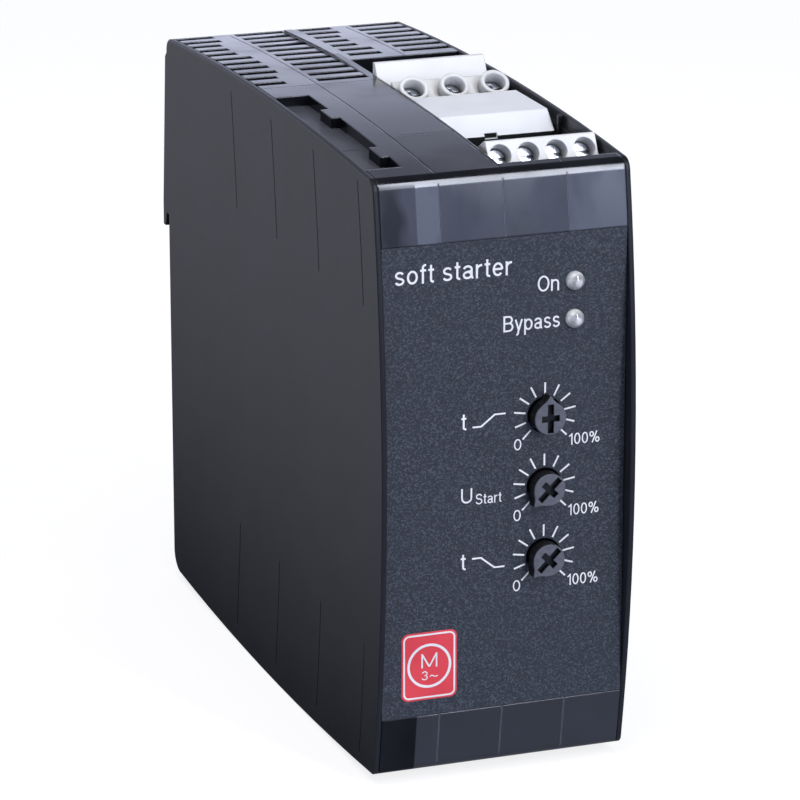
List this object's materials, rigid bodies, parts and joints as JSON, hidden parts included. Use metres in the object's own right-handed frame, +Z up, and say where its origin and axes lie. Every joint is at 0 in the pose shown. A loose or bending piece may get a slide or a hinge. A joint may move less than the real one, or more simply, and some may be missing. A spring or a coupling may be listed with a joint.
{
  "type": "soft starter",
  "caption": "Narrow rail-mounted motor soft starter with bowed front, setting knobs, lamps, vented top and screw terminals at both ends; knobs, terminal screws and rail latch move.",
  "frame": {"origin": "centre of the footprint, on the level of the lowest point of the curved bottom", "axes": "+Z up, -Y toward the front panel, +X to the right seen from the front"},
  "size_m": [0.045, 0.121, 0.1091],
  "materials": {
    "case_plastic": "fine satin mould texture",
    "panel_plastic": "fine-grained printed foil",
    "lamp_lens": "clear milky lens",
    "knob_plastic": "smooth moulded",
    "pot_plastic": "moulded",
    "terminal_plastic": "smooth white polyamide",
    "cover_plastic": "smooth pale grey",
    "clamp_metal": "tinned",
    "screw_steel": "zinc plated",
    "board_laminate": "green solder mask on glass-fibre laminate",
    "chip_plastic": "moulded epoxy",
    "relay_plastic": "moulded",
    "capacitor_sleeve": "shrunk sleeve",
    "heat_sink_metal": "bare extrusion",
    "latch_plastic": "smooth moulded",
    "spring_steel": "drawn wire"
  },
  "bodies": {
    "case": {"centre_frame": "case_plastic", "left_side_plate": "case_plastic", "right_side_plate": "case_plastic", "front_panel": "panel_plastic", "lamp_on": "lamp_lens", "lamp_bypass": "lamp_lens", "potentiometer_ramp_up": "pot_plastic", "potentiometer_start_voltage": "pot_plastic", "potentiometer_ramp_down": "pot_plastic", "control_board": "board_laminate", "microcontroller": "chip_plastic", "board_connector": "chip_plastic", "power_board": "board_laminate", "bypass_relay_upper": "relay_plastic", "bypass_relay_lower": "relay_plastic", "smoothing_capacitors": "capacitor_sleeve", "heat_sink": "heat_sink_metal", "thyristor_upper": "chip_plastic", "thyristor_lower": "chip_plastic", "thyristor_screws": "screw_steel", "power_block_top": "terminal_plastic", "power_clamps_top": "clamp_metal", "control_block_top": "terminal_plastic", "control_clamps_top": "clamp_metal", "terminal_cover_top": "cover_plastic", "power_block_bottom": "terminal_plastic", "power_clamps_bottom": "clamp_metal", "control_block_bottom": "terminal_plastic", "control_clamps_bottom": "clamp_metal", "terminal_cover_bottom": "cover_plastic", "latch_spring": "spring_steel"},
    "knob_ramp_up": {"knob_ramp_up": "knob_plastic"},
    "knob_start_voltage": {"knob_start_voltage": "knob_plastic"},
    "knob_ramp_down": {"knob_ramp_down": "knob_plastic"},
    "power_screw_top_1": {"power_screw_top_1": "screw_steel"},
    "power_screw_top_2": {"power_screw_top_2": "screw_steel"},
    "power_screw_top_3": {"power_screw_top_3": "screw_steel"},
    "control_screw_top_1": {"control_screw_top_1": "screw_steel"},
    "control_screw_top_2": {"control_screw_top_2": "screw_steel"},
    "control_screw_top_3": {"control_screw_top_3": "screw_steel"},
    "control_screw_top_4": {"control_screw_top_4": "screw_steel"},
    "power_screw_bottom_1": {"power_screw_bottom_1": "screw_steel"},
    "power_screw_bottom_2": {"power_screw_bottom_2": "screw_steel"},
    "power_screw_bottom_3": {"power_screw_bottom_3": "screw_steel"},
    "control_screw_bottom_1": {"control_screw_bottom_1": "screw_steel"},
    "control_screw_bottom_2": {"control_screw_bottom_2": "screw_steel"},
    "control_screw_bottom_3": {"control_screw_bottom_3": "screw_steel"},
    "control_screw_bottom_4": {"control_screw_bottom_4": "screw_steel"},
    "rail_latch": {"rail_latch": "latch_plastic"}
  },
  "joints": [
    {"name": "knob_ramp_up_turn", "type": "hinge", "parent": "case", "child": "knob_ramp_up", "pos_m": [0.0072, -0.05762, 0.063], "axis": [0, 1, 0], "range_deg": [-135, 135]},
    {"name": "knob_start_voltage_turn", "type": "hinge", "parent": "case", "child": "knob_start_voltage", "pos_m": [0.0072, -0.05762, 0.0506], "axis": [0, 1, 0], "range_deg": [0, 270]},
    {"name": "knob_ramp_down_turn", "type": "hinge", "parent": "case", "child": "knob_ramp_down", "pos_m": [0.0072, -0.05762, 0.0382], "axis": [0, 1, 0], "range_deg": [0, 270]},
    {"name": "power_screw_top_1_turn", "type": "hinge", "parent": "case", "child": "power_screw_top_1", "pos_m": [0.00325, -0.00404, 0.10554], "axis": [0, -0.6428, 0.766], "continuous": true},
    {"name": "power_screw_top_2_turn", "type": "hinge", "parent": "case", "child": "power_screw_top_2", "pos_m": [0.01075, -0.00404, 0.10554], "axis": [0, -0.6428, 0.766], "continuous": true},
    {"name": "power_screw_top_3_turn", "type": "hinge", "parent": "case", "child": "power_screw_top_3", "pos_m": [0.01825, -0.00404, 0.10554], "axis": [0, -0.6428, 0.766], "continuous": true},
    {"name": "control_screw_top_1_turn", "type": "hinge", "parent": "case", "child": "control_screw_top_1", "pos_m": [0.00375, -0.04545, 0.10464], "axis": [0, -0.866, 0.5], "continuous": true},
    {"name": "control_screw_top_2_turn", "type": "hinge", "parent": "case", "child": "control_screw_top_2", "pos_m": [0.00875, -0.04545, 0.10464], "axis": [0, -0.866, 0.5], "continuous": true},
    {"name": "control_screw_top_3_turn", "type": "hinge", "parent": "case", "child": "control_screw_top_3", "pos_m": [0.01375, -0.04545, 0.10464], "axis": [0, -0.866, 0.5], "continuous": true},
    {"name": "control_screw_top_4_turn", "type": "hinge", "parent": "case", "child": "control_screw_top_4", "pos_m": [0.01875, -0.04545, 0.10464], "axis": [0, -0.866, 0.5], "continuous": true},
    {"name": "power_screw_bottom_1_turn", "type": "hinge", "parent": "case", "child": "power_screw_bottom_1", "pos_m": [0.00325, -0.00404, 0.00386], "axis": [0, -0.6428, -0.766], "continuous": true},
    {"name": "power_screw_bottom_2_turn", "type": "hinge", "parent": "case", "child": "power_screw_bottom_2", "pos_m": [0.01075, -0.00404, 0.00386], "axis": [0, -0.6428, -0.766], "continuous": true},
    {"name": "power_screw_bottom_3_turn", "type": "hinge", "parent": "case", "child": "power_screw_bottom_3", "pos_m": [0.01825, -0.00404, 0.00386], "axis": [0, -0.6428, -0.766], "continuous": true},
    {"name": "control_screw_bottom_1_turn", "type": "hinge", "parent": "case", "child": "control_screw_bottom_1", "pos_m": [0.00375, -0.04545, 0.00477], "axis": [0, -0.866, -0.5], "continuous": true},
    {"name": "control_screw_bottom_2_turn", "type": "hinge", "parent": "case", "child": "control_screw_bottom_2", "pos_m": [0.00875, -0.04545, 0.00477], "axis": [0, -0.866, -0.5], "continuous": true},
    {"name": "control_screw_bottom_3_turn", "type": "hinge", "parent": "case", "child": "control_screw_bottom_3", "pos_m": [0.01375, -0.04545, 0.00477], "axis": [0, -0.866, -0.5], "continuous": true},
    {"name": "control_screw_bottom_4_turn", "type": "hinge", "parent": "case", "child": "control_screw_bottom_4", "pos_m": [0.01875, -0.04545, 0.00477], "axis": [0, -0.866, -0.5], "continuous": true},
    {"name": "rail_latch_slide", "type": "slide", "parent": "case", "child": "rail_latch", "axis": [0, 0, -1], "range_m": [0, 0.0045], "stiffness_N_per_m": 600, "springref_m": -0.004, "deforming": ["latch_spring"]}
  ]
}
